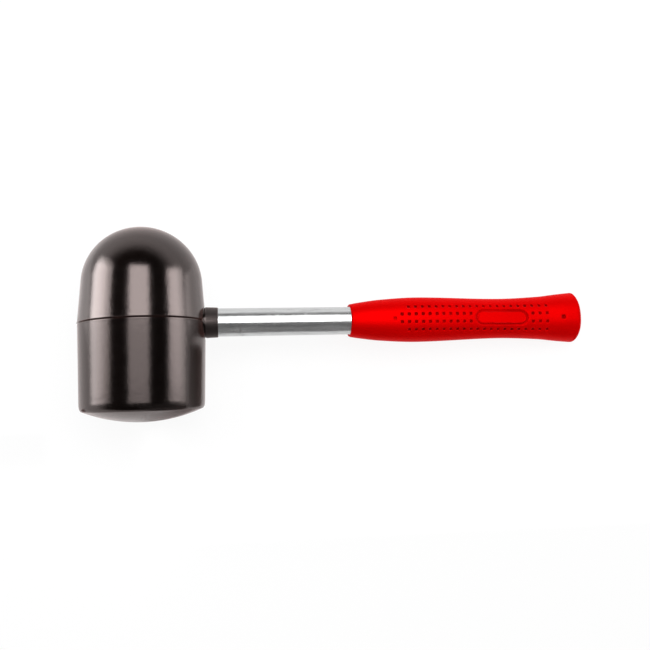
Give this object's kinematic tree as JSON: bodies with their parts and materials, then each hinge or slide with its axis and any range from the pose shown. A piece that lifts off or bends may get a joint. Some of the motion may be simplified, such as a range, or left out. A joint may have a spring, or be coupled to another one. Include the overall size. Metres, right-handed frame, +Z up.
{
  "type": "rubber mallet",
  "caption": "Rubber mallet with a domed and crowned black head, plated steel tube handle and pitted red vinyl grip, lying on its side.",
  "frame": {"origin": "floor level under the middle of the whole tool as it lies on its side", "axes": "+X along the handle from head to butt, +Y towards the head's domed end, +Z up from the floor"},
  "size_m": [0.347, 0.1284, 0.0827],
  "materials": {
    "rubber_head": "moulded, slightly waxy",
    "handle_tube": "zinc plated, bright",
    "anchor_pin": "bare",
    "head_plug": "sawn",
    "grip": "moulded vinyl, satin",
    "butt_plug": "moulded"
  },
  "bodies": {
    "root": {"rubber_head": "rubber_head", "handle_tube": "handle_tube", "anchor_pin": "anchor_pin", "head_plug": "head_plug", "grip": "grip", "butt_plug": "butt_plug"}
  },
  "joints": []
}
